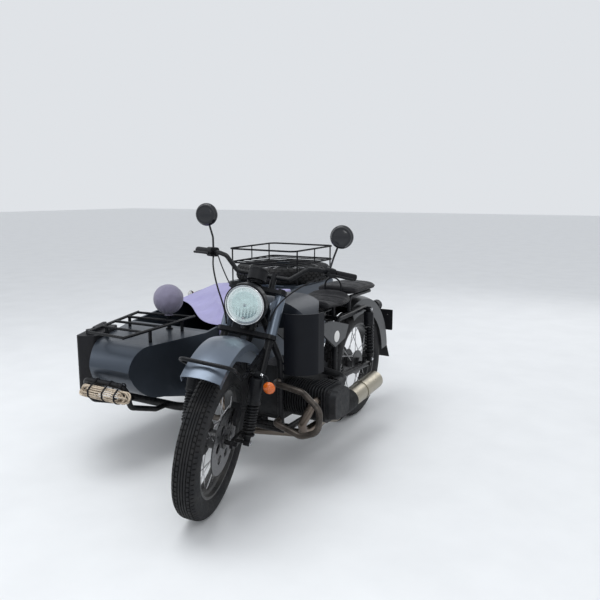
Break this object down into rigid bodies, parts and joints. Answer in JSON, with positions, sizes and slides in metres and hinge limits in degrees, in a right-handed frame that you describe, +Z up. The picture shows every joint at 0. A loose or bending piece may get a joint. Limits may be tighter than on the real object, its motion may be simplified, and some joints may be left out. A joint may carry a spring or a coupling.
{
  "type": "sidecar motorcycle",
  "caption": "Touring motorcycle with a steered leading-link fork, a flat twin engine, spoked wheels and a sidecar with a nose rack, a covered cockpit and a lidded boot.",
  "frame": {"origin": "on the ground under the middle of the whole vehicle", "axes": "+Z up, +Y towards the rear, +X towards the motorcycle's own left, so the sidecar is towards -X"},
  "size_m": [1.5972, 2.5209, 1.3407],
  "materials": {
    "paint": "satin",
    "black_metal": "satin",
    "steel": "brushed",
    "alloy": "cast",
    "lens": "clear",
    "lamp_plastic": "glossy",
    "black_plastic": "matt",
    "rubber": "matt",
    "tyre": "matt",
    "vinyl": "satin",
    "cover_cloth": "woven",
    "lamp_cover": "woven",
    "rope": "twisted"
  },
  "bodies": {
    "chassis": {"leg_shields": "paint", "fuel_tank": "paint", "side_covers": "paint", "rear_fender": "paint", "sidecar_body": "paint", "sidecar_fender": "paint", "main_frame": "black_metal", "sidecar_frame": "black_metal", "swing_arm": "black_metal", "crash_bars": "black_metal", "saddle_frame": "black_metal", "nose_rack": "black_metal", "nose_guard": "black_metal", "sidecar_arm": "black_metal", "heat_shield": "black_metal", "rear_shocks": "black_metal", "sidecar_shock": "black_metal", "exhaust_pipes": "steel", "muffler": "steel", "engine_block": "alloy", "cylinders": "alloy", "cylinder_heads": "alloy", "intakes": "alloy", "final_drive": "alloy", "marker_lamps": "lamp_plastic", "tail_lamp": "lamp_plastic", "fuel_can": "black_plastic", "mudflap": "rubber", "rider_saddle": "vinyl", "pillion_saddle": "vinyl", "tonneau": "cover_cloth", "spotlight": "lamp_cover", "rope_hank": "rope"},
    "steering": {"fork_legs": "black_metal", "fork_covers": "paint", "leading_links": "black_metal", "front_shocks": "black_metal", "brake_caliper": "alloy", "front_fender": "paint", "fender_guard": "black_metal", "headlamp_shell": "paint", "headlamp_lens": "lens", "speedometer": "black_plastic", "handlebar": "black_metal", "grips": "rubber", "levers": "black_metal", "mirrors": "black_metal", "front_indicator": "lamp_plastic"},
    "front_wheel": {"front_wheel": "black_metal", "front_tyre": "tyre", "front_brake_disc": "steel"},
    "rear_wheel": {"rear_wheel": "black_metal", "rear_tyre": "tyre"},
    "sidecar_wheel": {"sidecar_wheel": "black_metal", "sidecar_tyre": "tyre"},
    "boot_lid": {"boot_lid": "paint", "boot_rack": "black_metal", "spare_wheel": "black_metal", "spare_tyre": "tyre"},
    "centre_stand": {"centre_stand": "black_metal"}
  },
  "joints": [
    {"name": "steering", "type": "hinge", "parent": "chassis", "child": "steering", "pos_m": [0.411, -0.999, 0], "axis": [0, 0.454, 0.891], "range_deg": [-51, 13]},
    {"name": "front_wheel_spin", "type": "hinge", "parent": "steering", "child": "front_wheel", "pos_m": [0.4424, -0.92864, 0.33895], "axis": [0.9455, 0.2901, -0.1478], "continuous": true},
    {"name": "rear_wheel_spin", "type": "hinge", "parent": "chassis", "child": "rear_wheel", "pos_m": [0.411, 0.536, 0.34], "axis": [1, 0, 0], "continuous": true},
    {"name": "sidecar_wheel_spin", "type": "hinge", "parent": "chassis", "child": "sidecar_wheel", "pos_m": [-0.729, 0.551, 0.34], "axis": [1, 0, 0], "continuous": true},
    {"name": "boot_lid_hinge", "type": "hinge", "parent": "chassis", "child": "boot_lid", "pos_m": [-0.331, 0.584, 0.772], "axis": [1, 0, 0], "range_deg": [0, 55]},
    {"name": "centre_stand_pivot", "type": "hinge", "parent": "chassis", "child": "centre_stand", "pos_m": [0.411, 0.056, 0.196], "axis": [-1, 0, 0], "range_deg": [0, 80]}
  ]
}
